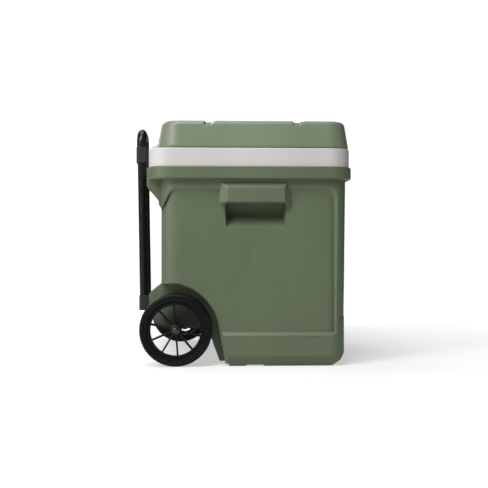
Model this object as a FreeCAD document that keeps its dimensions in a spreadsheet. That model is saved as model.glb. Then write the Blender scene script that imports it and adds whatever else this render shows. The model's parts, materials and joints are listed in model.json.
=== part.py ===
import FreeCAD, Part
import Sketcher
import math
import os

# A 60 quart roller cooler: an insulated tub with a hinged lid, two wheels on a
# through axle and a two-stage telescoping tow handle.
# Frame: +Z up, +X to the front (away from the tow handle), Y along the length.
# The origin is under the middle of the cooler, on the floor. Millimetres.

doc = FreeCAD.newDocument("WheeledCooler")

# ---------------------------------------------------------------- sizes

SIZES = [
    # tub: side walls, ends and heights
    ("rear_wall", -168.6, "outer face of the rear wall"),
    ("front_panel_low", 213.8, "front panel at the floor"),
    ("front_panel_high", 218.3, "front panel under the rim"),
    ("frame_proud", 3.0, "corner posts stand this far in front of the front panel"),
    ("panel_half_low", 284.5, "half length over the side panels at the floor"),
    ("panel_half_high", 286.0, "half length over the side panels under the rim"),
    ("frame_half", 292.0, "half length over the raised frame"),
    ("skirt_half", 293.5, "half length over the skirt lip"),
    ("panel_corner", 35.0, "plan radius of the panel corners"),
    ("frame_corner", 32.0, "plan radius of the frame corners"),
    ("rim_bottom", 391.0, "underside of the green rim"),
    ("collar_bottom", 417.0, "joint between green rim and pale collar"),
    ("collar_top", 455.5, "top of the pale collar"),
    ("rim_front", 233.5, "front of the green rim"),
    ("rim_rear", -196.0, "rear of the green rim"),
    ("rim_half", 305.0, "half length over the green rim"),
    ("rim_corner", 48.0, "plan radius of the green rim"),
    ("wall", 3.0, "moulded wall thickness"),
    # raised frame round the side panel
    ("band_low", 364.0, "panel edge of the upper band bevel"),
    ("band_high", 374.0, "outer edge of the upper band bevel"),
    ("post_inner", 194.5, "panel edge of the front post bevel"),
    ("post_outer", 208.0, "outer edge of the front post bevel"),
    ("ledge_high", 71.4, "panel edge of the skirt ledge"),
    ("ledge_low", 62.0, "outer edge of the skirt ledge"),
    ("front_skirt", 105.0, "top of the skirt across the front"),
    # underside
    ("toe_height", 27.0, "height of the faceted front toe"),
    ("tail_height", 77.0, "underside between the wheels"),
    ("bevel_height", 23.0, "height of the bevel along the bottom edge"),
    ("bevel_width", 15.0, "width of the bevel along the bottom edge"),
    # wheels and axle
    ("wheel_x", -137.6, "axle position from the middle"),
    ("wheel_radius", 76.2, "tyre radius, and axle height"),
    ("wheel_outer", 297.0, "outer face of the wheel from the middle"),
    ("wheel_width", 42.0, "tyre width"),
    ("well_inner", 232.0, "inner wall of the wheel well"),
    ("well_top", 172.5, "top of the wheel well"),
    ("well_round", 110.0, "radius of the wheel arch"),
    ("rim_radius", 62.0, "seat of the tyre on the rim"),
    ("window_radius", 52.0, "outer end of the spokes"),
    ("hub_radius", 12.5, "hub"),
    ("spoke_width", 3.4, "spoke width"),
    ("axle_radius", 4.75, "axle rod"),
    ("running_fit", 0.08, "radial clearance of turning and sliding fits"),
    # lid
    ("lid_rear", -177.0, "lower rear edge of the lid"),
    ("lid_front", 229.0, "lower front edge of the lid"),
    ("lid_half", 298.0, "half length of the lid at its lower edge"),
    ("lid_top", 514.0, "top of the lid"),
    ("lid_corner", 46.0, "plan radius of the lid"),
    ("lid_draft", 9.5, "draft of the lid sides, degrees"),
    ("lid_gap", 0.6, "gap between lid and collar"),
    ("crown_radius", 20.0, "radius of the lid's rear top edge"),
    ("cup_pitch", 93.0, "cup holders from the middle of the lid, along X"),
    ("cup_y", 222.0, "cup holders from the middle of the lid, along Y"),
    ("cup_radius", 40.0, "cup holder"),
    ("cup_depth", 12.0, "cup holder depth"),
    ("middle_x", 25.0, "middle of the lid and tub along X"),
    ("scallop_half", 88.0, "half width of the relief for the tow grip"),
    ("scallop_front", -114.0, "front wall of the relief for the tow grip"),
    ("scallop_floor", 478.0, "floor of the relief for the tow grip"),
    # hinge
    ("hinge_x", -186.0, "hinge axis"),
    ("hinge_z", 462.0, "hinge axis height"),
    ("knuckle_radius", 6.5, "hinge knuckle"),
    ("pin_radius", 2.5, "hinge pin"),
    ("hinge_y", 170.0, "middle of each hinge"),
    # food space
    ("cave_rear", -138.0, "rear wall of the food space"),
    ("cave_front", 187.0, "front wall of the food space"),
    ("cave_half", 238.0, "half length of the food space"),
    ("cave_floor", 48.0, "floor of the food space"),
    ("cave_corner", 30.0, "plan radius of the food space"),
    ("cave_step", 112.0, "raised floor between the wheels"),
    ("cave_step_front", -8.0, "front edge of the raised floor"),
    ("cave_well_floor", 206.0, "raised floor over the wheel wells"),
    ("cave_well_half", 200.0, "half length between the raised floors over the wells"),
    # tow handle
    ("tube_x", -215.2, "tube centre at the lower end"),
    ("tube_y", 60.0, "tubes from the middle"),
    ("tube_tilt", 1.0, "lean of the tow handle to the rear, degrees"),
    ("tube_low", 106.0, "lower end of the outer tubes"),
    ("tube_high", 478.0, "upper end of the outer tubes"),
    ("grip_low", 480.6, "lower face of the grip legs"),
    ("grip_high", 525.0, "top of the grip"),
]


class Size:
    """A length together with the spreadsheet expression that drives it."""

    def __init__(self, value, text):
        self.value = float(value)
        self.text = text

    def combine(self, other, value, pattern):
        return Size(value, pattern % (self.text, size_of(other).text))

    def __add__(self, other):
        return self.combine(other, self.value + size_of(other).value, "(%s + %s)")

    def __sub__(self, other):
        return self.combine(other, self.value - size_of(other).value, "(%s - %s)")

    def __mul__(self, other):
        return self.combine(other, self.value * size_of(other).value, "(%s * %s)")

    def __neg__(self):
        return Size(-self.value, "(0 - %s)" % self.text)

    def __radd__(self, other):
        return size_of(other) + self

    def __rsub__(self, other):
        return size_of(other) - self

    def __rmul__(self, other):
        return size_of(other) * self


def size_of(number):
    """A plain number or a Size, as a Size."""
    if isinstance(number, Size):
        return number
    if number < 0:
        return Size(number, "(0 - %.6g)" % -number)
    return Size(number, "%.6g" % number)


sheet = doc.addObject("Spreadsheet::Sheet", "Sizes")


class Sheet:
    """Every driving dimension, by name."""


L = Sheet()
for row, (alias, value, note) in enumerate(SIZES, start=1):
    sheet.set("A%d" % row, alias)
    sheet.set("B%d" % row, str(value))
    sheet.setAlias("B%d" % row, alias)
    sheet.set("C%d" % row, note)
    setattr(L, alias, Size(value, "Sizes." + alias))
doc.recompute()

# ---------------------------------------------------------------- helpers


def bind(feature, prop, number):
    """Bind a property to an expression of the sheet."""
    feature.setExpression(prop, size_of(number).text)


def new_body(label):
    body = doc.addObject("PartDesign::Body", label)
    body.Label = label
    return body


def new_sketch(body, role, offset=0.0):
    """A sketch on one of the body's own planes, moved along the plane's normal.

    On XZ_Plane the sketch's axes are X and Z and its normal is -Y; on YZ_Plane
    they are Y and Z with +X as the normal.
    """
    sketch = body.newObject("Sketcher::SketchObject", body.Label + "_sketch")
    plane = [item for item in body.Origin.OriginFeatures if item.Role == role][0]
    sketch.AttachmentSupport = [(plane, "")]
    sketch.MapMode = "FlatFace"
    bind(sketch, "AttachmentOffset.Base.z", offset)
    return sketch


def place_point(rules, geometry, position, x, y):
    """Fix a point of the sketch at x, y from its origin."""
    rules.append(("DistanceX", geometry, position, size_of(x)))
    rules.append(("DistanceY", geometry, position, size_of(y)))


def add_rules(sketch, rules):
    """Add the constraints, and bind each dimension to its expression."""
    for rule in rules:
        if rule[0] in ("DistanceX", "DistanceY"):
            kind, geometry, position, size = rule
            made = Sketcher.Constraint(kind, -1, 1, geometry, position, size.value)
        elif rule[0] == "Radius":
            kind, geometry, size = rule
            made = Sketcher.Constraint(kind, geometry, size.value)
        else:
            size = None
            made = Sketcher.Constraint(*rule)
        index = sketch.addConstraint(made)
        if size is not None:
            sketch.setExpression("Constraints[%d]" % index, size.text)


def outline(sketch, corners):
    """A closed outline through corners (x, y) or (x, y, radius)."""
    count = len(corners)
    points = [FreeCAD.Vector(size_of(c[0]).value, size_of(c[1]).value, 0) for c in corners]
    ends = []
    arcs = []
    for i, corner in enumerate(corners):
        here = points[i]
        before = (points[i - 1] - here).normalize()
        after = (points[(i + 1) % count] - here).normalize()
        if len(corner) < 3:
            ends.append((here, here))
            arcs.append(None)
            continue
        radius = size_of(corner[2]).value
        half = before.getAngle(after) / 2
        reach = radius / math.tan(half)
        first = here + before * reach
        last = here + after * reach
        centre = here + (before + after).normalize() * (radius / math.sin(half))
        turns_left = before.cross(after).z < 0
        start, stop = (first, last) if turns_left else (last, first)
        angles = [math.atan2(p.y - centre.y, p.x - centre.x) for p in (start, stop)]
        arcs.append((centre, radius, angles, turns_left))
        ends.append((first, last))
    lines = []
    for i in range(count):
        segment = Part.LineSegment(ends[i][1], ends[(i + 1) % count][0])
        lines.append(sketch.addGeometry(segment, False))
    rules = []
    for i, corner in enumerate(corners):
        arriving, leaving = lines[i - 1], lines[i]
        if arcs[i] is None:
            rules.append(("Coincident", arriving, 2, leaving, 1))
            place_point(rules, leaving, 1, corner[0], corner[1])
            continue
        centre, radius, angles, turns_left = arcs[i]
        circle = Part.Circle(centre, FreeCAD.Vector(0, 0, 1), radius)
        arc = sketch.addGeometry(Part.ArcOfCircle(circle, angles[0], angles[1]), False)
        tip = sketch.addGeometry(Part.Point(points[i]), True)
        rules.append(("Tangent", arriving, 2, arc, 1 if turns_left else 2))
        rules.append(("Tangent", leaving, 1, arc, 2 if turns_left else 1))
        rules.append(("PointOnObject", tip, 1, arriving))
        rules.append(("PointOnObject", tip, 1, leaving))
        rules.append(("Radius", arc, size_of(corner[2])))
        place_point(rules, tip, 1, corner[0], corner[1])
    add_rules(sketch, rules)
    return sketch


def ring(sketch, x, y, radius):
    """A circle round x, y."""
    centre = FreeCAD.Vector(size_of(x).value, size_of(y).value, 0)
    circle = Part.Circle(centre, FreeCAD.Vector(0, 0, 1), size_of(radius).value)
    index = sketch.addGeometry(circle, False)
    rules = [("Radius", index, size_of(radius))]
    place_point(rules, index, 3, x, y)
    add_rules(sketch, rules)
    return sketch


def rectangle(x0, y0, x1, y1, *radii):
    """Corners of a rectangle, with one radius, four radii or none."""
    places = [(x0, y0), (x1, y0), (x1, y1), (x0, y1)]
    if not radii:
        return places
    if len(radii) == 1:
        radii = radii * 4
    return [place + (radius,) for place, radius in zip(places, radii)]


def feature(body, kind, sketch, length=None, symmetric=False, flip=False, taper=None):
    """A Pad, Pocket, Revolution or Groove of the sketch."""
    made = body.newObject("PartDesign::" + kind, body.Label + "_" + kind.lower())
    made.Profile = sketch
    if length is None:
        made.Type = "ThroughAll"
    else:
        bind(made, "Length", length)
    if symmetric:
        made.Midplane = True
    made.Reversed = flip
    if taper is not None:
        bind(made, "TaperAngle", taper)
    return made


def loft(body, sketches, kind="AdditiveLoft"):
    made = body.newObject("PartDesign::" + kind, body.Label + "_loft")
    made.Profile = sketches[0]
    made.Sections = sketches[1:]
    made.Ruled = True
    return made


def revolve(body, sketch, axis, kind="Revolution"):
    made = body.newObject("PartDesign::" + kind, body.Label + "_" + kind.lower())
    made.Profile = sketch
    made.ReferenceAxis = (sketch, [axis])
    made.Angle = 360
    return made


def round_edges(body, radius, wanted, kind="Fillet"):
    """Fillet or chamfer the edges of the body's tip that wanted() accepts."""
    doc.recompute()
    base = body.Tip
    names = ["Edge%d" % (i + 1) for i, edge in enumerate(base.Shape.Edges) if wanted(edge)]
    made = body.newObject("PartDesign::" + kind, body.Label + "_" + kind.lower())
    made.Base = (base, names)
    bind(made, "Radius" if kind == "Fillet" else "Size", radius)
    return made


def level_edges(height):
    """Accepts the edges that lie flat at a height."""
    def wanted(edge):
        box = edge.BoundBox
        return abs(box.ZMin - height) < 0.01 and abs(box.ZMax - height) < 0.01
    return wanted


def combine(kind, label, shapes):
    """A Part boolean: Fuse and Common take a list, Cut a base and its tools."""
    if kind == "Cut":
        base = shapes[0]
        tools = shapes[1:]
        tool = tools[0] if len(tools) == 1 else combine("Fuse", label + "_tools", tools)
        made = doc.addObject("Part::Cut", label)
        made.Base = base
        made.Tool = tool
    else:
        made = doc.addObject("Part::Multi" + kind, label)
        made.Shapes = shapes
    made.Label = label
    return made


def side_name(side):
    return "left" if side < 0 else "right"


NODES = []


def node(item):
    """Marks an object of the document as one sub-part that is written out."""
    NODES.append(item)
    return item


SIDES = (-1, 1)

# ---------------------------------------------------------------- outer shell


def plan_loft(label, low, high):
    """A tall block between two rounded plans, each (z, front, half, corner)."""
    body = new_body(label)
    plans = []
    for z, front, half, corner in (low, high):
        sketch = new_sketch(body, "XY_Plane", z)
        plans.append(outline(sketch, rectangle(L.rear_wall, -half, front, half, corner)))
    loft(body, plans)
    return body


def frame_blocks(side):
    """The raised frame round one side panel: upper band, front post and skirt.

    Its faces towards the panel are bevels, so it is lofted outwards in three
    sections; the rear end of the band dips towards the rear wall.
    """
    body = new_body("side_frame_" + side_name(side))
    inner = (L.band_low, L.post_inner, L.ledge_high, -174.0, 316.0, 15.0)
    outer = (L.band_high, L.post_outer, L.ledge_low, -181.0, 318.0, 19.0)
    sections = []
    for out, form in ((258.0, inner), (L.panel_half_high, inner), (L.frame_half + 0.5, outer)):
        band, post, ledge, dip_x, dip_z, corner = form
        sketch = new_sketch(body, "XZ_Plane", size_of(out) * -side)
        corners = [
            (-215.0, dip_z), (dip_x, dip_z), (dip_x + (band - dip_z) * 0.5, band, corner),
            (post, band, corner),
            (post, ledge), (-60.0, ledge), (-60.0, -5.0), (245.0, -5.0), (245.0, 405.0),
            (-215.0, 405.0),
        ]
        sections.append(outline(sketch, corners))
    loft(body, sections)
    return body


def front_frame():
    """The raised frame round the front panel."""
    body = new_body("front_frame")
    block = outline(new_sketch(body, "YZ_Plane", L.post_outer), rectangle(-310.0, -5.0, 310.0, 405.0))
    feature(body, "Pad", block, 35.0)
    windows = []
    for x, half, low, high in ((200.0, 244.0, L.front_skirt, L.band_low),
                               (L.front_panel_low, 244.0, L.front_skirt, L.band_low),
                               (250.0, 252.0, L.front_skirt - 4.0, L.band_high + 4.0)):
        sketch = new_sketch(body, "YZ_Plane", x)
        windows.append(outline(sketch, rectangle(-half, low, half, high, 14.0)))
    loft(body, windows, "SubtractiveLoft")
    return body


def skirt_profile():
    """The skirt lip: level along the sides, sweeping up across the front."""
    body = new_body("skirt_profile")
    sketch = new_sketch(body, "XZ_Plane")
    corners = [
        (-60.0, -5.0), (245.0, -5.0), (245.0, L.front_skirt - 2.0),
        (212.0, L.front_skirt - 2.0, 8.0), (196.0, L.ledge_low - 1.0, 18.0),
        (-60.0, L.ledge_low - 1.0),
    ]
    outline(sketch, corners)
    feature(body, "Pad", sketch, 640.0, symmetric=True)
    return body


def green_rim():
    """The rim that carries the collar, with a sloped underside."""
    body = new_body("green_rim")
    corners = rectangle(L.rim_rear, -L.rim_half, L.rim_front, L.rim_half, L.rim_corner)
    sketch = outline(new_sketch(body, "XY_Plane", L.rim_bottom), corners)
    feature(body, "Pad", sketch, L.collar_bottom - L.rim_bottom)
    round_edges(body, 4.0, level_edges(L.rim_bottom.value))
    round_edges(body, 2.5, level_edges(L.collar_bottom.value))
    return body


def side_profile_block(label, corners, half_length):
    """A block with one X-Z outline, the same on both sides of the middle."""
    body = new_body(label)
    outline(new_sketch(body, "XZ_Plane"), corners)
    feature(body, "Pad", body.Group[-1], size_of(half_length) * 2, symmetric=True)
    return body


def lift_handle(side):
    """The moulded lift handle: a block that narrows towards its face."""
    body = new_body("lift_handle_" + side_name(side))
    foot = [(-47.5, 339.0, 4.0), (103.0, 339.0, 4.0), (97.0, 385.5, 3.0), (-43.5, 385.5, 3.0)]
    face = rectangle(-29.0, 343.5, 89.0, 372.0, 3.0)
    sections = []
    for out, corners in ((278.0, foot), (291.0, foot), (303.0, face)):
        sections.append(outline(new_sketch(body, "XZ_Plane", size_of(out) * -side), corners))
    loft(body, sections)
    return body


def finger_pocket(side):
    """The hollow behind and below the lift handle: a ramp at the bottom, ends that flare to the mouth."""
    word = side_name(side)
    body = new_body("finger_pocket_depth_" + word)
    sketch = new_sketch(body, "YZ_Plane", -45.0)
    depth = [
        (312.0, 276.0), (286.0, 288.5, 6.0), (251.0, 322.0, 26.0), (251.0, 367.0, 12.0),
        (294.0, 367.0, 6.0), (294.0, 325.0), (312.0, 325.0),
    ]
    outline(sketch, [(size_of(c[0]) * side,) + c[1:] for c in depth])
    feature(body, "Pad", sketch, 150.0)
    flare = new_body("finger_pocket_flare_" + word)
    back = [
        (-28.5, 270.0), (87.5, 270.0), (87.5, 335.0), (87.5, 338.5), (87.5, 375.0), (-28.5, 375.0),
        (-28.5, 338.5), (-28.5, 335.0),
    ]
    mouth = [
        (-31.0, 270.0), (89.0, 270.0), (95.0, 335.0), (91.5, 338.5), (91.5, 375.0), (-33.5, 375.0),
        (-33.5, 338.5), (-36.5, 335.0),
    ]
    sections = []
    for out, corners in ((245.0, back), (291.0, mouth), (315.0, mouth)):
        sections.append(outline(new_sketch(flare, "XZ_Plane", size_of(out) * -side), corners))
    loft(flare, sections)
    return combine("Common", "finger_pocket_" + word, [body, flare])


def wheel_well(side):
    """The wheel well, whose mouth opens out in facets that round the arch's lip."""
    body = new_body("wheel_well_" + side_name(side))
    sections = []
    for out, grow in ((L.well_inner, 0.0), (277.0, 0.0), (282.0, 1.2), (284.8, 3.2), (286.5, 6.0), (330.0, 7.5)):
        corners = [
            (-230.0, -10.0), (grow - 31.0, -10.0), (grow - 66.0, L.well_top + grow, L.well_round + grow),
            (-230.0, L.well_top + grow),
        ]
        sections.append(outline(new_sketch(body, "XZ_Plane", size_of(out) * -side), corners))
    loft(body, sections)
    return body


def foot_bevel(side):
    """The bevel along the bottom edge of each end."""
    body = new_body("foot_bevel_" + side_name(side))
    out = L.skirt_half + 1.0
    corners = [(out * side, L.bevel_height), (out * side, -3.0), ((out - L.bevel_width - 3.0) * side, -3.0)]
    outline(new_sketch(body, "YZ_Plane", -240.0), corners)
    feature(body, "Pad", body.Group[-1], 500.0)
    return body


def stepped_space(label, form, top):
    """A hollow with raised floors at the rear, over the wheels and between them."""
    body = new_body(label)
    rear, front, half, corner = form["rear"], form["front"], form["half"], form["corner"]
    boxes = [
        (rectangle(rear, -half, front, half, corner), form["well_floor"]),
        (rectangle(rear, -form["tail_half"], front - 60.0, form["tail_half"], 12.0), form["tail_floor"]),
        (rectangle(form["step"], -half, front, half, 12.0, corner, corner, 12.0), form["floor"]),
    ]
    for corners, floor in boxes:
        sketch = outline(new_sketch(body, "XY_Plane", floor), corners)
        feature(body, "Pad", sketch, size_of(top) - floor)
    return body


CAVE = {
    "rear": L.cave_rear, "front": L.cave_front, "half": L.cave_half, "corner": L.cave_corner,
    "well_floor": L.cave_well_floor, "tail_floor": L.cave_step, "floor": L.cave_floor,
    "tail_half": L.cave_well_half, "step": L.cave_step_front,
}
TUB = {
    "rear": L.cave_rear - L.wall, "front": L.cave_front + L.wall, "half": L.cave_half + L.wall,
    "corner": L.cave_corner + L.wall, "well_floor": L.cave_well_floor - L.wall,
    "tail_floor": L.cave_step - L.wall, "floor": L.cave_floor - L.wall,
    "tail_half": L.cave_well_half + L.wall, "step": L.cave_step_front - L.wall,
}
SHELL_SPACE = {
    "rear": L.rear_wall + L.wall, "front": L.front_panel_low - L.wall,
    "half": L.panel_half_low - L.wall, "corner": L.panel_corner - L.wall,
    "well_floor": L.well_top + 4.0, "tail_floor": L.tail_height + 10.5, "floor": size_of(24.0),
    "tail_half": L.well_inner - L.wall, "step": size_of(-25.0),
}


def block(label, x0, y0, z0, x1, y1, z1, *radii):
    """An upright box with rounded corners."""
    body = new_body(label)
    sketch = outline(new_sketch(body, "XY_Plane", z0), rectangle(x0, y0, x1, y1, *radii))
    feature(body, "Pad", sketch, size_of(z1) - z0)
    return body


def rod_y(label, x, z, radius, y0, y1, bore=None):
    """A round rod, or a ring with a bore, lying along Y."""
    body = new_body(label)
    sketch = ring(new_sketch(body, "XZ_Plane", -size_of(y1)), x, z, radius)
    if bore is not None:
        ring(sketch, x, z, bore)
    feature(body, "Pad", sketch, size_of(y1) - y0, flip=False)
    return body


def make_foam_space():
    """Everything between the outer shell and the liner that the foam fills."""
    parts = [stepped_space("shell_space", SHELL_SPACE, L.collar_bottom)]
    parts.append(block("sump_space", -18.0, -262.0, 9.0, 186.0, 262.0, 30.0, 20.0))
    parts.append(block("rim_space", L.rim_rear + 6.0, 4.0 - L.rim_half, L.rim_bottom + 4.0,
                       L.rim_front - 4.0, L.rim_half - 4.0, L.collar_bottom, L.rim_corner - 4.0))
    parts.append(block("fender_space", -191.0, -226.0, 112.0, -150.0, 226.0, 150.0, 6.0))
    parts.append(block("shelf_space", -195.5, -250.0, 382.0, -150.0, 250.0, L.collar_bottom, 6.0))
    guards = []
    for side in SIDES:
        near, far = sorted((248.0 * side, 290.0 * side))
        guards.append(block("pocket_guard_" + side_name(side), -40.5, near, 282.5, 99.0, far, 373.0))
    return combine("Cut", "foam_space", [combine("Fuse", "foam_space_whole", parts)] + guards)


DRAIN_X = 138.0
DRAIN_Z = 64.0
FENDER_REAR = -195.5


def drain_rod(label, radius, y0, y1, bore=None):
    """A turned piece on the axis of the drain, which leaves through the +Y end."""
    return rod_y(label, DRAIN_X, DRAIN_Z, radius, y0, y1, bore)


def make_outer_shell(space):
    core = plan_loft(
        "shell_core",
        (0.0, L.front_panel_low, L.panel_half_low, L.panel_corner),
        (L.rim_bottom + 2.0, L.front_panel_high, L.panel_half_high, L.panel_corner),
    )
    envelope = plan_loft(
        "frame_envelope",
        (0.0, L.front_panel_low + L.frame_proud, L.frame_half - 1.0, L.frame_corner),
        (L.rim_bottom + 2.0, L.front_panel_high + L.frame_proud, L.frame_half, L.frame_corner),
    )
    lip_front = L.front_panel_low + L.frame_proud + 1.5
    skirt_envelope = plan_loft(
        "skirt_envelope",
        (0.0, lip_front, L.skirt_half, L.frame_corner),
        (L.rim_bottom, lip_front, L.skirt_half, L.frame_corner),
    )
    blocks = combine("Fuse", "frame_blocks", [frame_blocks(-1), frame_blocks(1), front_frame()])
    frame = combine("Common", "frame_raised", [envelope, blocks])
    skirt = combine("Common", "skirt_lip", [skirt_envelope, skirt_profile()])
    shelf = side_profile_block("hinge_shelf", [
        (-199.6, L.collar_bottom), (-199.6, 379.0, 6.0), (-194.0, 370.0), (-174.7, 350.0),
        (-174.0, 339.0), (L.rear_wall, 330.0), (-150.0, 330.0), (-150.0, L.collar_bottom),
    ], 255.0)
    fender = side_profile_block("rear_fender", [
        (-150.0, L.tail_height + 1.0), (-174.0, L.tail_height + 1.0, 14.0), (FENDER_REAR, 106.0, 8.0),
        (FENDER_REAR, 152.0, 12.0), (-166.0, 172.0), (-150.0, 172.0),
    ], L.well_inner - 1.0)
    walls = combine("Fuse", "shell_walls", [core, green_rim(), shelf, fender])
    parts = [walls, frame, skirt] + [lift_handle(side) for side in SIDES]
    solid = combine("Fuse", "shell_solid", parts)
    toe = side_profile_block("toe_cut", [
        (188.0, -6.0), (260.0, -6.0), (260.0, L.toe_height), (217.5, L.toe_height),
        (208.0, 13.5), (190.0, 0.0),
    ], 320.0)
    arch = side_profile_block("floor_arch", [
        (7.0, -3.0), (7.0, 0.0), (12.0, 2.7), (45.0, 2.7), (49.0, 0.0), (49.0, -3.0),
    ], 320.0)
    tail = side_profile_block("tail_cut", [
        (-240.0, -6.0), (-24.0, -6.0), (-24.0, 0.0), (-28.0, 5.5), (-45.0, 5.5),
        (-70.0, L.tail_height - 3.0), (-166.0, L.tail_height + 1.0), (-240.0, L.tail_height + 1.0),
    ], L.well_inner + 0.5)
    heel = side_profile_block("heel_cut", [
        (-80.0, -6.0), (-24.0, -6.0), (-24.0, 0.0), (-28.0, 5.5), (-80.0, 5.5),
    ], 320.0)
    channel = side_profile_block("axle_channel", rectangle(
        L.wheel_x - 7.0, 40.0, L.wheel_x + 7.0, L.wheel_radius + 7.5), L.well_inner + 5.0)
    cutters = [toe, arch, tail, heel, channel, space]
    for side in SIDES:
        cutters += [finger_pocket(side), wheel_well(side), foot_bevel(side)]
    cutters.append(drain_rod("drain_hole_shell", 12.2, 200.0, 300.0))
    cutters.append(drain_rod("drain_recess", 24.0, 284.0, 300.0))
    return combine("Cut", "shell_plain", [solid] + cutters)


# ---------------------------------------------------------------- liner and foam

COLLAR = (-195.0, 229.7, 299.0, 44.0)


def collar_block(label, inset, low, high):
    """The pale collar's outline, inset by a wall, between two heights."""
    rear, front, half, corner = COLLAR
    return block(label, rear + inset, inset - half, low, front - inset, half - inset, high, corner - inset)


def make_liner():
    collar = collar_block("collar_block", 0.0, L.collar_bottom, L.collar_top)
    round_edges(collar, 2.0, level_edges(L.collar_top.value))
    round_edges(collar, 1.2, level_edges(L.collar_bottom.value))
    groove = collar_block("collar_space", 4.0, L.collar_bottom, L.collar_top - 4.5)
    tub = stepped_space("tub_outside", TUB, L.collar_top - 1.0)
    cave = stepped_space("cave", CAVE, L.collar_top + 5.0)
    shell = combine("Cut", "collar_hollow", [collar, groove])
    whole = combine("Fuse", "liner_whole", [shell, tub])
    hole = drain_rod("drain_hole_liner", 12.2, 200.0, 300.0)
    return combine("Cut", "liner_plain", [whole, cave, hole]), groove, tub


def make_foam(space, groove, tub):
    whole = combine("Fuse", "foam_whole", [space, groove])
    hole = drain_rod("drain_hole_foam", 12.2, 200.0, 300.0)
    return node(combine("Cut", "body_insulation", [whole, tub, hole]))


# ---------------------------------------------------------------- lid

LID_LOW = L.collar_top + L.lid_gap
LID_SLOPE = math.tan(math.radians(L.lid_draft.value))


def lid_block(label, inset, low, high):
    """The lid's drafted outline, inset by a wall."""
    body = new_body(label)
    half = L.lid_half - inset
    corners = rectangle(L.lid_rear + inset, -half, L.lid_front - inset, half, L.lid_corner - inset)
    sketch = outline(new_sketch(body, "XY_Plane", low), corners)
    feature(body, "Pad", sketch, size_of(high) - low, taper=-L.lid_draft)
    return body


def cup_places():
    for side in SIDES:
        for end in SIDES:
            yield side, L.middle_x + L.cup_pitch * end, L.cup_y * side


def upright_rods(label, radius, low, high):
    """One upright round rod at each cup holder."""
    rods = []
    for index, (side, x, y) in enumerate(cup_places()):
        body = new_body("%s_%d" % (label, index + 1))
        feature(body, "Pad", ring(new_sketch(body, "XY_Plane", low), x, y, radius), size_of(high) - low)
        rods.append(body)
    return rods


def edge_notches(label, grow):
    """Scoops in the lid's end edges, where the cup holders drain: a steep rear wall and a rising floor."""
    scoops = []
    for index, (side, x, y) in enumerate(cup_places()):
        body = new_body("%s_%d" % (label, index + 1))
        mouth = [
            (x - 15.0 - grow, L.lid_top + 4.0), (x - 12.5 - grow, L.lid_top - 17.0 - grow, 3.0),
            (x + 3.0, L.lid_top - 17.0 - grow, 6.0), (x + 17.0 + grow, L.lid_top - 4.0 - grow),
            (x + 19.0 + grow, L.lid_top + 4.0),
        ]
        back = [
            (x - 10.0 - grow, L.lid_top + 4.0), (x - 8.5 - grow, L.lid_top - 3.5 - grow, 1.5),
            (x + 3.0, L.lid_top - 3.5 - grow, 3.0), (x + 10.0 + grow, L.lid_top - 1.0 - grow),
            (x + 11.0 + grow, L.lid_top + 4.0),
        ]
        sections = []
        for out, corners in ((L.lid_half + 6.0, mouth), (L.lid_half - 26.0 - grow, back)):
            sections.append(outline(new_sketch(body, "XZ_Plane", out * -side), corners))
        loft(body, sections)
        scoops.append(body)
    return scoops


def drain_grooves():
    """Shallow grooves from the cup holders to the scoops."""
    grooves = []
    for index, (side, x, y) in enumerate(cup_places()):
        near, far = (y, L.lid_half) if side > 0 else (-L.lid_half, y)
        grooves.append(block("drain_groove_%d" % (index + 1), x - 8.0, near, L.lid_top - 2.5,
                             x + 8.0, far, L.lid_top + 4.0))
    return grooves


def rear_crown(label, inset):
    """An X-Z outline over the whole lid that rounds its rear top edge."""
    top = L.lid_top - inset
    rear = L.lid_rear + inset - 0.2
    return side_profile_block(label, [
        (rear - 5.0 * LID_SLOPE, LID_LOW - 5.0), (rear + (top - LID_LOW) * LID_SLOPE, top, L.crown_radius - inset),
        (L.lid_front + 5.0, top), (L.lid_front + 5.0, LID_LOW - 5.0),
    ], 310.0)


def make_lid():
    lid = lid_block("lid_form", 0.0, LID_LOW, L.lid_top)
    round_edges(lid, 11.0, level_edges(L.lid_top.value))
    round_edges(lid, 4.0, level_edges(LID_LOW.value))
    lid = combine("Common", "lid_crowned", [lid, rear_crown("lid_crown", size_of(0.0))])
    space = lid_block("lid_space_form", L.wall + 0.5, LID_LOW, L.lid_top - L.wall - 0.5)
    round_edges(space, 8.0, level_edges((L.lid_top - L.wall - 0.5).value))
    space = combine("Common", "lid_space_crowned", [space, rear_crown("lid_space_crown", L.wall + 0.5)])
    guards = upright_rods("cup_guard", L.cup_radius + L.wall, L.lid_top - L.cup_depth - L.wall, L.lid_top)
    guards += edge_notches("notch_guard", 3.0)
    guards.append(block("scallop_guard", -200.0, -(L.scallop_half + L.wall), L.scallop_floor - L.wall,
                        L.scallop_front + L.wall, L.scallop_half + L.wall, L.lid_top))
    hollow = combine("Cut", "lid_space", [space] + guards)
    cutters = upright_rods("cup_holder", L.cup_radius, L.lid_top - L.cup_depth, L.lid_top + 4.0)
    cutters += edge_notches("edge_notch", 0.0) + drain_grooves()
    scallop = block("grip_relief", -210.0, -L.scallop_half, L.scallop_floor, L.scallop_front,
                    L.scallop_half, L.lid_top + 4.0, 10.0)
    cutters.append(scallop)
    return combine("Cut", "lid_plain", [lid, hollow] + cutters), hollow


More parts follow.
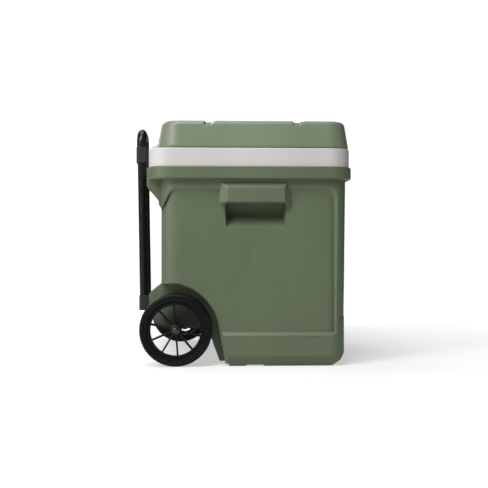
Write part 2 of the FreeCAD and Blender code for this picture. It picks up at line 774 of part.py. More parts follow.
def make_lid_liner(hollow):
    """The pale inner panel: a flange that closes the lid, and a hollow plug."""
    flange = lid_block("lid_liner_flange", L.wall + 0.5, LID_LOW, LID_LOW + L.wall)
    gap = 4.0
    outer = (L.cave_rear + gap, L.cave_half - gap, L.cave_front - gap)
    plug = block("lid_plug", outer[0], -outer[1], 444.0, outer[2], outer[1], LID_LOW + 1.0, 26.0)
    round_edges(plug, 4.0, level_edges(444.0))
    inner = block("lid_plug_space", outer[0] + L.wall, L.wall - outer[1], 447.0,
                  outer[2] - L.wall, outer[1] - L.wall, LID_LOW + L.wall, 23.0)
    liner = combine("Cut", "lid_liner", [combine("Fuse", "lid_liner_whole", [flange, plug]), inner])
    node(liner)
    foam = combine("Fuse", "lid_foam_whole", [hollow, inner])
    node(combine("Cut", "lid_insulation", [foam, liner]))


# ---------------------------------------------------------------- hinges


def lid_rear_at(z):
    """X of the lid's rear face at a height."""
    return L.lid_rear.value + (z - LID_LOW.value) * LID_SLOPE


def hinge_base(side):
    middle = L.hinge_y * side
    name = "hinge_base_" + side_name(side)
    parts = [block(name + "_strip", -195.0, middle - 46.0, L.collar_top, -192.7, middle + 46.0,
                   L.collar_top + 3.0)]
    for end in SIDES:
        near, far = sorted(((middle + 14.0 * end).value, (middle + 46.0 * end).value))
        parts.append(block("%s_tab_%s" % (name, side_name(end)), -195.0, near, L.collar_top,
                           -180.0, far, L.collar_top + 3.0, 2.0))
        near, far = sorted(((middle + 14.0 * end).value, (middle + 34.0 * end).value))
        parts.append(rod_y("%s_knuckle_%s" % (name, side_name(end)), L.hinge_x, L.hinge_z,
                           L.knuckle_radius, near, far))
        parts.append(block("%s_root_%s" % (name, side_name(end)), L.hinge_x - L.knuckle_radius, near,
                           L.collar_top, L.hinge_x + L.knuckle_radius, far, L.hinge_z))
    return combine("Fuse", name + "_whole", parts)


def hinge_leaf(side):
    middle = L.hinge_y.value * side
    name = "hinge_leaf_" + side_name(side)
    knuckle = rod_y(name + "_knuckle", L.hinge_x, L.hinge_z, L.knuckle_radius - 0.3,
                    middle - 13.5, middle + 13.5)
    neck = new_body(name + "_neck")
    outline(new_sketch(neck, "XZ_Plane", -(middle + 13.5)), [
        (-189.0, 467.0), (-181.0, 475.0), (lid_rear_at(475.0) - 1.0, 475.0),
        (lid_rear_at(461.5) - 1.0, 461.5), (-182.0, 458.6), (-186.0, 458.0),
    ])
    feature(neck, "Pad", neck.Group[-1], 27.0)
    plate = new_body(name + "_plate")
    outline(new_sketch(plate, "XZ_Plane", -(middle + 27.0)), [
        (lid_rear_at(470.0) - 3.0, 470.0), (lid_rear_at(470.0), 470.0),
        (lid_rear_at(492.0), 492.0), (lid_rear_at(492.0) - 3.0, 492.0),
    ])
    feature(plate, "Pad", plate.Group[-1], 54.0)
    return combine("Fuse", name + "_whole", [knuckle, neck, plate])


def screw(label, place, direction, head_radius, head_height, shank_radius, shank_length):
    """A pan-head screw whose head sits on place and whose shank points along direction."""
    head = doc.addObject("Part::Cylinder", label + "_head")
    shank = doc.addObject("Part::Cylinder", label + "_shank")
    turn = FreeCAD.Rotation(FreeCAD.Vector(0, 0, 1), FreeCAD.Vector(*direction))
    start = FreeCAD.Vector(*place)
    bind(head, "Radius", head_radius)
    bind(head, "Height", head_height)
    bind(shank, "Radius", shank_radius)
    bind(shank, "Height", shank_length)
    back = turn.multVec(FreeCAD.Vector(0, 0, -head_height))
    head.Placement = FreeCAD.Placement(start + back, turn)
    shank.Placement = FreeCAD.Placement(start, turn)
    return combine("Fuse", label, [head, shank])


def screw_group(label, rows):
    """Identical screws as one node of separate solids."""
    screws = [screw("%s_%d" % (label, index + 1), *row) for index, row in enumerate(rows)]
    group = doc.addObject("Part::Compound", label)
    group.Links = screws
    group.Label = label
    return node(group)


def make_hinges():
    down = (0, 0, -1)
    slope = math.radians(L.lid_draft.value)
    inward = (math.cos(slope), 0, -math.sin(slope))
    base_rows = []
    leaf_rows = []
    for side in SIDES:
        middle = L.hinge_y.value * side
        for end in SIDES:
            top = L.collar_top.value + 3.0
            base_rows.append(((-187.0, middle + 40.0 * end, top), down, 3.4, 1.8, 1.8, 6.5))
            face = lid_rear_at(483.0) - 3.0 / math.cos(slope)
            leaf_rows.append(((face, middle + 19.0 * end, 483.0), inward, 3.4, 1.8, 1.6, 6.0))
    base_screws = screw_group("hinge_base_screws", base_rows)
    leaf_screws = screw_group("hinge_leaf_screws", leaf_rows)
    for side in SIDES:
        name = side_name(side)
        middle = L.hinge_y * side
        pin = rod_y("hinge_pin_" + name, L.hinge_x, L.hinge_z, L.pin_radius, middle - 34.0, middle + 34.0)
        node(pin)
        bore = rod_y("hinge_bore_" + name, L.hinge_x, L.hinge_z, L.pin_radius + L.running_fit,
                     middle - 13.8, middle + 13.8)
        node(combine("Cut", "hinge_base_" + name, [hinge_base(side), pin, base_screws]))
        node(combine("Cut", "hinge_leaf_" + name, [hinge_leaf(side), bore, leaf_screws]))
    return base_screws, leaf_screws


# ---------------------------------------------------------------- wheels and axle


def wheel_body(label, side):
    """A body in the wheel's own frame: the axle along Y, the outer face at -Y."""
    body = new_body(label)
    middle = (L.wheel_outer - L.wheel_width * 0.5).value * side
    turn = FreeCAD.Rotation(FreeCAD.Vector(0, 1, 0), -4.5)
    if side > 0:
        turn = FreeCAD.Rotation(FreeCAD.Vector(0, 0, 1), 180).multiply(turn)
    place = FreeCAD.Vector(L.wheel_x.value, middle, L.wheel_radius.value)
    return body, FreeCAD.Placement(place, turn)


def make_wheel(side):
    name = side_name(side)
    rim, place = wheel_body(name + "_wheel_rim", side)
    half = L.wheel_width * 0.5 - 3.0
    seat = L.rim_radius
    window = L.window_radius
    groove = window + 4.0
    section = [
        (-half, window), (-half, groove), (3.0 - half, groove + 0.6), (3.0 - half, seat - 2.6),
        (-half, seat - 2.0), (-half, seat), (half, seat), (half, window + 6.0),
        (4.0 - half, window + 6.0), (4.0 - half, window),
    ]
    revolve(rim, outline(new_sketch(rim, "YZ_Plane"), section), "H_Axis")
    bore = L.axle_radius + L.running_fit
    hub = [(-17.0, bore), (-17.0, L.hub_radius - 3.0), (-15.5, L.hub_radius), (39.0, L.hub_radius - 0.5),
           (39.0, bore)]
    revolve(rim, outline(new_sketch(rim, "YZ_Plane"), hub), "H_Axis")
    spoke_sketch = new_sketch(rim, "XZ_Plane", -4.0)
    outline(spoke_sketch, [(L.spoke_width * -0.5, 10.0), (L.spoke_width * 0.5, 10.0),
                           (L.spoke_width * 0.5, window + 3.0), (L.spoke_width * -0.5, window + 3.0)])
    spoke = feature(rim, "Pad", spoke_sketch, 20.0)
    pattern = rim.newObject("PartDesign::PolarPattern", name + "_spokes")
    pattern.Originals = [spoke]
    axis = [item for item in rim.Origin.OriginFeatures if item.Role == "Y_Axis"][0]
    pattern.Axis = (axis, [""])
    pattern.Angle = 360
    pattern.Occurrences = 10
    rim.Tip = pattern
    rim.Placement = place
    node(rim)

    tyre, place = wheel_body(name + "_wheel_tyre", side)
    half = L.wheel_width * 0.5
    out = L.wheel_radius
    tread = [(-half, seat), (-half, seat + 3.0), (0.9 - half, seat + 3.6), (0.9 - half, seat + 5.4),
             (-half, seat + 6.0), (-half, out - 1.0, 5.0), (-7.0, out), (-6.2, out - 1.6),
             (-4.8, out - 1.6), (-4.0, out), (4.0, out), (4.8, out - 1.6), (6.2, out - 1.6),
             (7.0, out), (half, out - 1.0, 5.0), (half, seat)]
    revolve(tyre, outline(new_sketch(tyre, "YZ_Plane"), tread), "H_Axis")
    tyre.Placement = place
    node(tyre)


def make_axle():
    end = L.wheel_outer + 2.0
    axle = rod_y("axle", L.wheel_x, L.wheel_radius, L.axle_radius, -end, end)
    node(axle)
    for side in SIDES:
        name = side_name(side)
        near, far = sorted((234.2 * side, 236.4 * side))
        node(rod_y(name + "_axle_washer", L.wheel_x, L.wheel_radius, 10.0, near, far, L.axle_radius))
        near, far = sorted((293.8 * side, 294.8 * side))
        flange = rod_y(name + "_nut_flange", L.wheel_x, L.wheel_radius, 8.0, near, far)
        near, far = sorted((294.8 * side, 300.4 * side))
        dome = rod_y(name + "_nut_dome", L.wheel_x, L.wheel_radius, 6.0, near, far)
        round_edges(dome, 2.5, lambda edge, y=300.4 * side: abs(edge.BoundBox.YMin - y) < 0.01
                    and abs(edge.BoundBox.YMax - y) < 0.01)
        whole = combine("Fuse", name + "_nut_whole", [flange, dome])
        node(combine("Cut", name + "_push_nut", [whole, axle]))
    rows = []
    keepers = []
    for side in SIDES:
        name = side_name(side)
        low, high = 66.5, 75.8
        middle = 120.0 * side
        keepers.append(block(name + "_keeper_block", -160.0, middle - 14.0, low, -115.0, middle + 14.0,
                             high, 4.0))
        for x in (-153.0, -122.0):
            rows.append(((x, middle, low), (0, 0, 1), 4.5, 2.2, 2.2, 18.0))
    screws = screw_group("axle_keeper_screws", rows)
    for side, keeper in zip(SIDES, keepers):
        node(combine("Cut", "axle_keeper_" + side_name(side), [keeper, axle, screws]))
    return screws


# ---------------------------------------------------------------- tow handle

LEAN = FreeCAD.Placement(
    FreeCAD.Vector(L.tube_x.value, 0, L.tube_low.value),
    FreeCAD.Rotation(FreeCAD.Vector(0, 1, 0), -L.tube_tilt.value),
)
TUBE_LENGTH = L.tube_high - L.tube_low


def leaning_ring(label, side, radius, low, high, bore=None):
    """An upright tube or ring of the tow handle, in the handle's own frame."""
    body = new_body(label)
    sketch = ring(new_sketch(body, "XY_Plane", low), 0.0, L.tube_y * side, radius)
    if bore is not None:
        ring(sketch, 0.0, L.tube_y * side, bore)
    feature(body, "Pad", sketch, size_of(high) - low)
    body.Placement = LEAN
    return body


def pair(label, radius, low, high, bore):
    """The same ring on both tubes, as one node."""
    rings = [leaning_ring("%s_%s" % (label, side_name(side)), side, radius, low, high, bore)
             for side in SIDES]
    group = doc.addObject("Part::Compound", label)
    group.Links = rings
    group.Label = label
    return node(group)


def make_tubes():
    fit = L.running_fit.value
    for side in SIDES:
        name = side_name(side)
        node(leaning_ring(name + "_outer_tube", side, 10.0, 0.0, TUBE_LENGTH, 8.8))
        node(leaning_ring(name + "_middle_tube", side, 7.6, 6.0, TUBE_LENGTH - 1.0, 6.5))
    pair("outer_tube_guides", 8.8, TUBE_LENGTH - 25.0, TUBE_LENGTH, 7.6 + fit)
    pair("middle_tube_glides", 8.8 - fit, 6.0, 26.0, 7.6)
    pair("middle_tube_guides", 6.5, TUBE_LENGTH - 21.0, TUBE_LENGTH - 1.0, 5.4 + fit)
    pair("inner_tube_glides", 6.5 - fit, 12.0, 32.0, 5.4)


def make_grip():
    """The grip: a round bar bent down into two legs, pinned to the inner tubes."""
    low = (L.grip_low - L.tube_low).value
    high = (L.grip_high - L.tube_low).value
    radius = 11.0
    grip = new_body("grip_form")
    path = new_sketch(grip, "YZ_Plane")
    bend = 23.0
    top = high - radius
    reach = L.tube_y.value
    legs = []
    legs.append(Part.LineSegment(FreeCAD.Vector(-reach, low, 0), FreeCAD.Vector(-reach, top - bend, 0)))
    corner = FreeCAD.Vector(bend - reach, top - bend, 0)
    circle = Part.Circle(corner, FreeCAD.Vector(0, 0, 1), bend)
    legs.append(Part.ArcOfCircle(circle, math.pi / 2, math.pi))
    legs.append(Part.LineSegment(FreeCAD.Vector(bend - reach, top, 0), FreeCAD.Vector(reach - bend, top, 0)))
    corner = FreeCAD.Vector(reach - bend, top - bend, 0)
    circle = Part.Circle(corner, FreeCAD.Vector(0, 0, 1), bend)
    legs.append(Part.ArcOfCircle(circle, 0, math.pi / 2))
    legs.append(Part.LineSegment(FreeCAD.Vector(reach, top - bend, 0), FreeCAD.Vector(reach, low, 0)))
    for leg in legs:
        path.addGeometry(leg, False)
    joins = [(0, 2, 1, 2), (1, 1, 2, 1), (2, 2, 3, 2), (3, 1, 4, 1)]
    add_rules(path, [("Tangent",) + join for join in joins])
    profile = ring(new_sketch(grip, "XY_Plane", low), 0.0, -L.tube_y, radius)
    pipe = grip.newObject("PartDesign::AdditivePipe", "grip_pipe")
    pipe.Profile = profile
    pipe.Spine = (path, ["Edge%d" % (index + 1) for index in range(len(legs))])
    grip.Placement = LEAN
    cores = []
    for side in SIDES:
        name = side_name(side)
        cores.append(leaning_ring(name + "_grip_socket", side, 5.4, low - 1.0, low + 18.0))
    pins = []
    for side in SIDES:
        pin = doc.addObject("Part::Cylinder", "grip_pin_" + side_name(side))
        pin.Radius = 1.5
        pin.Height = 21.0
        local = FreeCAD.Placement(FreeCAD.Vector(-10.5, L.tube_y.value * side, low + 9.0),
                                  FreeCAD.Rotation(FreeCAD.Vector(0, 1, 0), 90))
        pin.Placement = LEAN.multiply(local)
        pins.append(pin)
    group = doc.addObject("Part::Compound", "grip_pins")
    group.Links = pins
    group.Label = "grip_pins"
    node(group)
    node(combine("Cut", "tow_grip", [grip, group] + cores))
    for side in SIDES:
        name = side_name(side)
        tube = leaning_ring(name + "_inner_stock", side, 5.4, 12.0, low + 18.0, 4.4)
        node(combine("Cut", name + "_inner_tube", [tube, group]))


def make_brackets():
    """The lower bracket on the fender and the upper bracket on the hinge shelf."""
    tubes = [leaning_ring("bracket_bore_" + side_name(side), side, 10.0, 0.0, 380.0) for side in SIDES]
    lower = new_body("lower_bracket_form")
    rear, neck, face = -227.0, -206.0, FENDER_REAR
    sketch = outline(new_sketch(lower, "XY_Plane", 104.5), [
        (face, -76.0), (face, 76.0), (rear, 76.0, 8.0), (rear, 46.0, 6.0), (neck, 46.0, 4.0),
        (neck, -46.0, 4.0), (rear, -46.0, 6.0), (rear, -76.0, 8.0),
    ])
    feature(lower, "Pad", sketch, 34.0)
    rows = [((neck, 30.0 * side, 121.0), (1, 0, 0), 4.5, 2.4, 2.4, 14.0) for side in SIDES]
    lower_screws = screw_group("lower_bracket_screws", rows)
    node(combine("Cut", "handle_lower_bracket", [lower] + tubes + [lower_screws]))
    upper = new_body("upper_bracket_form")
    sketch = outline(new_sketch(upper, "XY_Plane", 444.0), [
        (-206.5, -75.0, 5.0), (-206.5, 75.0, 5.0), (-233.5, 75.0, 8.0), (-233.5, 46.0, 6.0),
        (-227.0, 40.0, 6.0), (-227.0, -40.0, 6.0), (-233.5, -46.0, 6.0), (-233.5, -75.0, 8.0),
    ])
    feature(upper, "Pad", sketch, 36.0)
    saddle = block("upper_bracket_saddle", -240.0, -42.0, 468.0, -200.0, 42.0, 490.0)
    tongue = block("upper_bracket_tongue", -206.6, -34.0, 384.0, -199.6, 34.0, 452.0)
    rows = []
    for side in SIDES:
        for z in (392.0, 408.0):
            rows.append(((-206.6, 22.0 * side, z), (1, 0, 0), 4.5, 2.4, 2.4, 11.0))
    upper_screws = screw_group("upper_bracket_screws", rows)
    whole = combine("Fuse", "upper_bracket_whole", [combine("Cut", "upper_bracket_bar", [upper, saddle]), tongue])
    node(combine("Cut", "handle_upper_bracket", [whole] + tubes + [upper_screws]))
    return lower_screws, upper_screws


# ---------------------------------------------------------------- drain


def make_drain():
    node(drain_rod("drain_gasket", 18.0, 284.0, 285.2, 12.0))
    tube = drain_rod("drain_tube", 12.0, 232.0, 286.0, 9.0)
    flange = drain_rod("drain_flange", 19.0, 285.2, 288.0, 9.0)
    node(combine("Fuse", "drain_spout", [tube, flange]))
    nut = new_body("drain_nut")
    sketch = new_sketch(nut, "XZ_Plane", -238.0)
    across = 17.0
    hexagon = []
    for corner in range(6):
        angle = math.radians(60.0 * corner)
        hexagon.append((DRAIN_X + across * math.cos(angle), DRAIN_Z + across * math.sin(angle)))
    ring(outline(sketch, hexagon), DRAIN_X, DRAIN_Z, 12.0)
    feature(nut, "Pad", sketch, 5.0)
    node(nut)
    stem = drain_rod("drain_stem", 9.0 - L.running_fit.value, 272.0, 290.0)
    cap = drain_rod("drain_cap", 18.5, 289.5, 297.0)
    round_edges(cap, 2.0, lambda edge: edge.BoundBox.YMin > 296.9)
    node(combine("Fuse", "drain_plug", [stem, cap]))
    node(drain_rod("drain_plug_seal", 15.0, 288.1, 289.5, 9.0 - L.running_fit.value))


# ---------------------------------------------------------------- the whole cooler

foam_space = make_foam_space()
shell = make_outer_shell(foam_space)
liner, collar_groove, tub = make_liner()
base_screws, leaf_screws = make_hinges()
foam = make_foam(foam_space, collar_groove, tub)
lid, lid_hollow = make_lid()
make_lid_liner(lid_hollow)
for side in SIDES:
    make_wheel(side)
keeper_screws = make_axle()
make_tubes()
make_grip()
lower_screws, upper_screws = make_brackets()
make_drain()
node(combine("Cut", "outer_shell", [shell, keeper_screws, lower_screws, upper_screws]))
node(combine("Cut", "inner_liner", [liner, base_screws]))
node(combine("Cut", "lid_shell", [lid, leaf_screws]))
doc.recompute()

# ---------------------------------------------------------------- checks and export

for item in doc.Objects:
    if "Invalid" in item.State or "Error" in item.State:
        raise RuntimeError("%s did not compute: %s" % (item.Label, item.State))
    if item.TypeId.startswith("PartDesign::") and getattr(item, "BaseFeature", None) is not None:
        change = item.Shape.Volume - item.BaseFeature.Shape.Volume
        if abs(change) < 0.5:
            raise RuntimeError("%s changes nothing" % item.Label)

os.makedirs("parts", exist_ok=True)
for item in NODES:
    shape = item.Shape
    if shape.isNull() or not shape.isValid() or not shape.Solids:
        raise RuntimeError("%s is not a valid solid" % item.Label)
    shape.exportStep("parts/%s.step" % item.Label)
    box = shape.BoundBox
    print("%-24s solids %2d  volume %10.0f  x %7.1f %7.1f  y %7.1f %7.1f  z %6.1f %6.1f" % (
        item.Label, len(shape.Solids), shape.Volume,
        box.XMin, box.XMax, box.YMin, box.YMax, box.ZMin, box.ZMax))
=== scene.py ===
import json
import math

import bpy
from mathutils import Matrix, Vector


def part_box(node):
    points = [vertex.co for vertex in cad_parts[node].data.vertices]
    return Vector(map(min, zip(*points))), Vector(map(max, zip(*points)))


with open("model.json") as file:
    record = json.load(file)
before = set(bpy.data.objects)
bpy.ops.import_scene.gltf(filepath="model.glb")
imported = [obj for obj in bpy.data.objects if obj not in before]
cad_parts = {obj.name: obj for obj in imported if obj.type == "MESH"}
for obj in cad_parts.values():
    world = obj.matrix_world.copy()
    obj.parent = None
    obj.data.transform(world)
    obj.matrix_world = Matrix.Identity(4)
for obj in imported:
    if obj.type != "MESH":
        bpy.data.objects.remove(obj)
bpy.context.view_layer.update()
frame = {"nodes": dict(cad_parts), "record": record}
SLOT_OF = {part["node"]: part["material_slot"] for part in frame["record"]["subparts"]}
AXLE = (Vector(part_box("axle")[0]) + Vector(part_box("axle")[1])) / 2

PANEL_SEAM_X = 0.028     # the mould's parting line, down the middle of each end panel
SEAM_INNER_Y = 0.2       # the line shows on the ends only, further out than this
WHEEL_RADIUS = 0.0762
TREAD_START = 0.0748     # where the tyre's side wall ends and its tread begins
TREAD_RIBS = 96
RING_RADIUS = 0.0655     # the middle of the band of rings turned in the side wall
RING_HALF_BAND = 0.0052
RING_FREQUENCY = 3300.0  # radians per metre of radius

FLOOR_REACH = 30.0
GLOW_NEAR = 0.5          # the floor's glow grows between these two distances
GLOW_FAR = 2.2

CAMERA_PLACE = (-0.087, -2.297, 0.243)
CAMERA_YAW = 2.615
CAMERA_PITCH = 0.357
CAMERA_LENS = 71.04

MIDDLE = (0.0, 0.0, 0.25)
SOFTBOXES = {
    # name: (place, width, height, watts), each one facing MIDDLE
    "key": ((-1.7, -1.9, 2.0), 0.9, 0.9, 34.0),
    "high_front": ((-0.5, -1.5, 2.5), 1.1, 1.1, 36.0),
    "top": ((-0.2, 0.3, 2.4), 1.4, 1.4, 16.0),
    "left_strip": ((-2.6, -1.5, 0.9), 0.25, 1.6, 12.0),
    "front_fill": ((-0.9, -3.0, 0.9), 1.4, 1.4, 2.5),
    "right_strip": ((2.4, -0.9, 0.8), 0.15, 1.6, 2.0),
    "rear": ((-1.2, 2.4, 1.6), 1.8, 1.4, 26.0),
}


# ---------------------------------------------------------------- shader helpers


class Shader:
    """One material's node tree around a Principled shader, in the object's own metres."""

    def __init__(self, name, roughness, metallic=0.0, specular=0.5, coat=0.0, coat_roughness=0.2):
        self.material = bpy.data.materials.new(name)
        self.material.use_nodes = True
        self.tree = self.material.node_tree
        self.shader = self.tree.nodes["Principled BSDF"]
        self.shader.inputs["Roughness"].default_value = roughness
        self.shader.inputs["Metallic"].default_value = metallic
        self.shader.inputs["Specular IOR Level"].default_value = specular
        self.shader.inputs["Coat Weight"].default_value = coat
        self.shader.inputs["Coat Roughness"].default_value = coat_roughness
        self.place = self.add("ShaderNodeTexCoord").outputs["Object"]
        split = self.add("ShaderNodeSeparateXYZ", Vector=self.place)
        self.x, self.y, self.z = split.outputs

    def add(self, kind, settings=(), **inputs):
        node = self.tree.nodes.new(kind)
        for key, value in dict(settings).items():
            setattr(node, key, value)
        for key, value in inputs.items():
            self.put(node.inputs[key.replace("_", " ")], value)
        return node

    def put(self, socket, value):
        if isinstance(value, bpy.types.NodeSocket):
            self.tree.links.new(value, socket)
        else:
            socket.default_value = value

    def math(self, operation, *values, clamp=False):
        node = self.add("ShaderNodeMath", {"operation": operation, "use_clamp": clamp})
        for socket, value in zip(node.inputs, values):
            self.put(socket, value)
        return node.outputs[0]

    def noise(self, scale, detail=2.0, stretch=None, roughness=0.5):
        vector = self.place
        if stretch:
            vector = self.add("ShaderNodeMapping", Vector=self.place, Scale=stretch).outputs[0]
        node = self.add("ShaderNodeTexNoise", Vector=vector, Scale=scale, Detail=detail, Roughness=roughness)
        return node.outputs["Fac"]

    def span(self, value, low, high, to_low, to_high):
        node = self.add("ShaderNodeMapRange", {"clamp": True})
        for socket, number in zip(node.inputs, (value, low, high, to_low, to_high)):
            self.put(socket, number)
        return node.outputs[0]

    def mix(self, factor, first, second, blend="MIX"):
        node = self.add("ShaderNodeMix", {"data_type": "RGBA", "blend_type": blend})
        self.put(node.inputs["Factor"], factor)
        self.put(node.inputs["A"], first)
        self.put(node.inputs["B"], second)
        return next(out for out in node.outputs if out.type == "RGBA" and out.enabled)

    def edge(self, radius):
        """The normal rounded over edges of that radius, and how much it turns away from the face."""
        soft = self.add("ShaderNodeBevel", {"samples": 6}, Radius=radius).outputs[0]
        face = self.add("ShaderNodeNewGeometry").outputs["Normal"]
        turned = self.add("ShaderNodeVectorMath", {"operation": "DOT_PRODUCT"})
        self.put(turned.inputs[0], soft)
        self.put(turned.inputs[1], face)
        return soft, self.math("SUBTRACT", 1.0, turned.outputs["Value"], clamp=True)

    def worn_and_lit_edge(self, turned, most):
        """Grows from 0 on a face to the most on a sharp edge: real edge wear, and a painted highlight where
        it makes the colour paler.
        """
        return self.span(turned, 0.02, 0.30, 0.0, most)

    def bumps(self, heights, normal=None):
        """Stacks height fields, each (height, distance in metres, strength), on a normal."""
        for height, distance, strength in heights:
            node = self.add("ShaderNodeBump", Height=height, Distance=distance, Strength=strength)
            if normal is not None:
                self.put(node.inputs["Normal"], normal)
            normal = node.outputs[0]
        self.put(self.shader.inputs["Normal"], normal)

    def finish(self, colour, roughness):
        self.put(self.shader.inputs["Base Color"], colour)
        self.put(self.shader.inputs["Roughness"], roughness)
        return self.material


def linear(level):
    share = level / 255
    return share / 12.92 if level <= 10 else ((share + 0.055) / 1.055) ** 2.4


def srgb(*levels):
    """A linear colour from 0 to 255 display levels."""
    return tuple(linear(level) for level in levels) + (1.0,)


def scaled(colour, factor):
    """The colour made paler or darker, alpha left alone."""
    return tuple(min(1.0, channel * factor) for channel in colour[:3]) + (1.0,)


# ---------------------------------------------------------------- materials


def moulded(name, colour, roughness, grain=0.5, edge=0.0012, wear_and_highlight=0.2, specular=0.5, coat=0.0, seam=None):
    """Injection-moulded plastic: fine grain, flow marks, scuffs, and edges painted paler, partly as rubbing
    and partly as a painted highlight.

    seam is the X of a parting line that stands a little proud of both ends.
    """
    s = Shader(name, roughness, specular=specular, coat=coat)
    soft, turned = s.edge(edge)
    flow = s.noise(7.0, 3.0, (1.0, 1.0, 0.45))
    grains = s.noise(1500.0, 2.0)
    peel = s.noise(190.0, 2.0)
    scuffs = s.noise(48.0, 4.0, (1.0, 0.35, 0.16), 0.62)
    scuff = s.span(scuffs, 0.60, 0.74, 0.0, 1.0)
    shade = s.mix(s.span(flow, 0.35, 0.65, 0.0, 1.0), scaled(colour, 0.955), scaled(colour, 1.045))
    shade = s.mix(s.span(grains, 0.4, 0.7, 0.0, 0.10), shade, scaled(colour, 0.72))
    shade = s.mix(s.math("MULTIPLY", scuff, 0.10), shade, scaled(colour, 1.5))
    # every edge painted paler: partly real rubbing, partly a painted highlight along the edge
    shade = s.mix(s.worn_and_lit_edge(turned, wear_and_highlight), shade, scaled(colour, 1.7))
    heights = [(peel, 0.0003, 0.10), (grains, 0.0001, grain)]
    if seam is not None:
        away = s.math("ABSOLUTE", s.math("SUBTRACT", s.x, seam))
        ends = s.math("GREATER_THAN", s.math("ABSOLUTE", s.y), SEAM_INNER_Y)
        ridge = s.math("MULTIPLY", s.span(away, 0.0003, 0.0011, 1.0, 0.0), ends)
        shade = s.mix(s.math("MULTIPLY", ridge, 0.30), shade, scaled(colour, 1.6))
        heights.append((ridge, 0.0005, 0.8))
    s.bumps(heights, soft)
    rough = s.span(flow, 0.3, 0.7, roughness - 0.05, roughness + 0.05)
    rough = s.math("ADD", rough, s.math("MULTIPLY", scuff, 0.10))
    rough = s.math("SUBTRACT", rough, s.worn_and_lit_edge(turned, 0.10))
    return s.finish(shade, rough)


def tyre(name, colour, axle):
    """Blow-moulded black tread: rings turned in its wall, cross ribs round the tread and floor dust."""
    s = Shader(name, 0.5, specular=0.2)
    soft, turned = s.edge(0.0010)
    across = s.math("SUBTRACT", s.x, axle.x)
    up = s.math("SUBTRACT", s.z, axle.z)
    radius = s.math("SQRT", s.math("ADD", s.math("MULTIPLY", across, across), s.math("MULTIPLY", up, up)))
    angle = s.math("ARCTAN2", up, across)
    ribs = s.span(s.math("SINE", s.math("MULTIPLY", angle, TREAD_RIBS)), 0.55, 0.9, 0.0, 1.0)
    tread = s.math("GREATER_THAN", radius, TREAD_START)
    rings = s.span(s.math("SINE", s.math("MULTIPLY", radius, RING_FREQUENCY)), 0.4, 0.9, 0.0, 1.0)
    off_band = s.math("ABSOLUTE", s.math("SUBTRACT", radius, RING_RADIUS))
    band = s.math("LESS_THAN", off_band, RING_HALF_BAND)
    grains = s.noise(1200.0, 2.0)
    dust = s.span(s.noise(60.0, 5.0), 0.45, 0.75, 0.0, 0.35)
    dusty = s.math("MULTIPLY", dust, s.span(radius, 0.070, WHEEL_RADIUS, 0.12, 1.0))
    shade = s.mix(dusty, colour, srgb(46, 44, 41))
    # every edge painted paler grey: partly real rubbing, partly a painted highlight along the edge
    shade = s.mix(s.worn_and_lit_edge(turned, 0.4), shade, srgb(58, 58, 58))
    s.bumps([
        (s.math("MULTIPLY", ribs, tread), 0.0008, 0.8),
        (s.math("MULTIPLY", rings, band), 0.0005, 0.7),
        (grains, 0.0001, 0.5),
    ], soft)
    return s.finish(shade, s.span(dusty, 0.0, 0.3, 0.42, 0.66))


def coated_tube(name, colour):
    """Powder-coated tube: fine orange peel, with lengthwise rub marks from the stages sliding."""
    s = Shader(name, 0.34, specular=0.3, coat=0.1, coat_roughness=0.25)
    peel = s.noise(900.0, 2.0)
    rubs = s.span(s.noise(60.0, 4.0, (14.0, 14.0, 0.25), 0.6), 0.56, 0.72, 0.0, 1.0)
    shade = s.mix(s.math("MULTIPLY", rubs, 0.35), colour, srgb(44, 44, 46))
    s.bumps([(peel, 0.0001, 0.35), (rubs, 0.00005, 0.3)])
    return s.finish(shade, s.span(rubs, 0.0, 1.0, 0.30, 0.46))


def plated_steel(name, colour):
    """Zinc-plated steel with turning marks and dull spots."""
    s = Shader(name, 0.3, metallic=1.0)
    turning = s.noise(2600.0, 2.0, (1.0, 0.12, 1.0))
    spots = s.span(s.noise(260.0, 4.0), 0.5, 0.72, 0.0, 1.0)
    shade = s.mix(spots, colour, scaled(colour, 0.62))
    s.bumps([(turning, 0.00008, 0.4), (spots, 0.00006, 0.3)])
    return s.finish(shade, s.span(spots, 0.0, 1.0, 0.26, 0.48))


def foam(name, colour):
    """Rigid foam: small open cells."""
    s = Shader(name, 0.9, specular=0.2)
    cells = s.add("ShaderNodeTexVoronoi", Vector=s.place, Scale=420.0).outputs["Distance"]
    shade = s.mix(s.span(cells, 0.0, 0.6, 0.0, 0.6), scaled(colour, 0.72), colour)
    s.bumps([(cells, 0.0006, 0.7)])
    return s.finish(shade, s.span(cells, 0.0, 0.6, 0.8, 0.95))


def soft_rubber(name, colour):
    """Seal rubber with a bloom of talc."""
    s = Shader(name, 0.7, specular=0.3)
    bloom = s.span(s.noise(420.0, 4.0), 0.45, 0.75, 0.0, 0.4)
    s.bumps([(s.noise(1400.0, 2.0), 0.0001, 0.5)])
    return s.finish(s.mix(bloom, colour, srgb(86, 86, 84)), s.span(bloom, 0.0, 0.4, 0.62, 0.82))


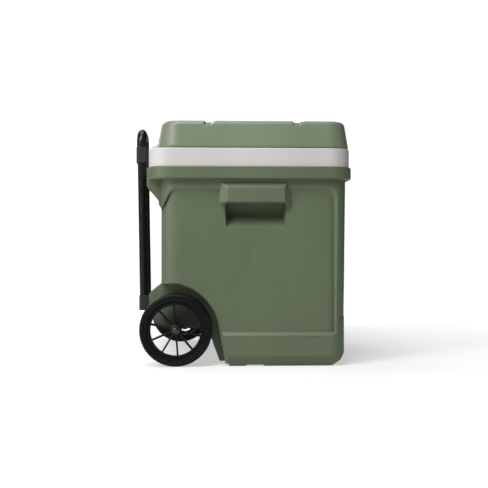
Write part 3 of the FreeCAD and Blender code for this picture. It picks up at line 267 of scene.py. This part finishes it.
GREEN = srgb(99, 112, 86)
LID_GREEN = srgb(122, 134, 110)
MATERIALS = {
    "body_green": moulded("green_body", GREEN, 0.42, seam=PANEL_SEAM_X),
    "lid_green": moulded("green_lid", LID_GREEN, 0.36),
    "liner_white": moulded("white_liner", srgb(214, 209, 210), 0.38, grain=0.25, wear_and_highlight=0.1),
    "insulation": foam("foam_fill", srgb(226, 208, 160)),
    "black_plastic": moulded("black_moulding", srgb(12, 12, 13), 0.42, wear_and_highlight=0.10, specular=0.25),
    "grey_plastic": moulded("grey_moulding", srgb(38, 38, 39), 0.45, wear_and_highlight=0.12, specular=0.4),
    "grip_black": moulded("grip_moulding", srgb(16, 16, 17), 0.30, grain=0.25, wear_and_highlight=0.1, specular=0.4,
                          coat=0.15),
    "black_tube": coated_tube("black_coating", srgb(11, 11, 12)),
    "steel": plated_steel("zinc_plate", srgb(186, 184, 178)),
    "tyre": tyre("black_tread", srgb(11, 11, 12), AXLE),
    "rubber": soft_rubber("seal_rubber", srgb(24, 24, 24)),
}
DARK_STEEL = plated_steel("dull_zinc", srgb(92, 91, 88))
AXLE_ENDS = ("left_push_nut", "right_push_nut", "left_axle_washer", "right_axle_washer")
for node, slot in SLOT_OF.items():
    piece = frame["nodes"][node]
    piece.data.materials.clear()
    piece.data.materials.append(DARK_STEEL if node in AXLE_ENDS else MATERIALS[slot])


# ---------------------------------------------------------------- studio


def make_floor(near_glow, far_glow, bounce):
    """A wide pale floor that shows whiter than the light it throws up, most of all in the distance."""
    mesh = bpy.data.meshes.new("floor")
    corners = [(x * FLOOR_REACH, y * FLOOR_REACH, 0) for x, y in ((-1, -1), (1, -1), (1, 1), (-1, 1))]
    mesh.from_pydata(corners, [], [(0, 1, 2, 3)])
    floor = bpy.data.objects.new("floor", mesh)
    bpy.context.collection.objects.link(floor)
    s = Shader("pale_floor", 0.8, specular=0.2)
    mottle = s.noise(3.0, 3.0)
    seen = s.add("ShaderNodeLightPath").outputs["Is Camera Ray"]
    s.put(s.shader.inputs["Emission Color"], (1.0, 1.0, 1.0, 1.0))
    away = s.add("ShaderNodeVectorMath", {"operation": "LENGTH"})
    s.put(away.inputs[0], s.place)
    glow = s.span(away.outputs["Value"], GLOW_NEAR, GLOW_FAR, near_glow, far_glow)
    s.put(s.shader.inputs["Emission Strength"], s.span(seen, 0.0, 1.0, bounce, glow))
    floor.data.materials.append(s.finish(s.mix(mottle, (0.56, 0.56, 0.56, 1), (0.60, 0.60, 0.60, 1)), 0.8))


def softbox(name, place, target, width, height, watts):
    """A white rectangular lamp that faces the target."""
    lamp = bpy.data.lights.new(name, "AREA")
    lamp.shape = "RECTANGLE"
    lamp.size = width
    lamp.size_y = height
    lamp.energy = watts
    holder = bpy.data.objects.new(name, lamp)
    bpy.context.collection.objects.link(holder)
    holder.location = place
    holder.rotation_mode = "QUATERNION"
    holder.rotation_quaternion = (Vector(target) - Vector(place)).to_track_quat("-Z", "Y")
    return holder


def make_world(backdrop, ambient):
    """A white studio backdrop that lights the object less than it shows."""
    world = bpy.data.worlds.new("studio")
    bpy.context.scene.world = world
    world.use_nodes = True
    tree = world.node_tree
    background = tree.nodes["Background"]
    rays = tree.nodes.new("ShaderNodeLightPath")
    level = tree.nodes.new("ShaderNodeMapRange")
    tree.links.new(rays.outputs["Is Camera Ray"], level.inputs["Value"])
    level.inputs["To Min"].default_value = ambient
    level.inputs["To Max"].default_value = backdrop
    tree.links.new(level.outputs["Result"], background.inputs["Strength"])
    background.inputs["Color"].default_value = (1.0, 1.0, 1.0, 1.0)


def make_camera(place, yaw, pitch, lens):
    """Looks along +Y, turned by yaw towards +X and raised by pitch, in degrees."""
    camera = bpy.data.cameras.new("camera")
    camera.lens = lens
    camera.sensor_width = 36.0
    camera.clip_end = 100.0
    holder = bpy.data.objects.new("camera", camera)
    bpy.context.collection.objects.link(holder)
    turn, rise = math.radians(yaw), math.radians(pitch)
    look = Vector((math.sin(turn) * math.cos(rise), math.cos(turn) * math.cos(rise), math.sin(rise)))
    holder.location = place
    holder.rotation_mode = "QUATERNION"
    holder.rotation_quaternion = look.to_track_quat("-Z", "Y")
    bpy.context.scene.camera = holder


make_floor(near_glow=0.50, far_glow=1.0, bounce=0.17)
make_world(backdrop=1.1, ambient=0.04)
for name, (place, width, height, watts) in SOFTBOXES.items():
    softbox(name, place, MIDDLE, width, height, watts)
make_camera(CAMERA_PLACE, CAMERA_YAW, CAMERA_PITCH, CAMERA_LENS)
bpy.context.scene.view_settings.view_transform = "Standard"
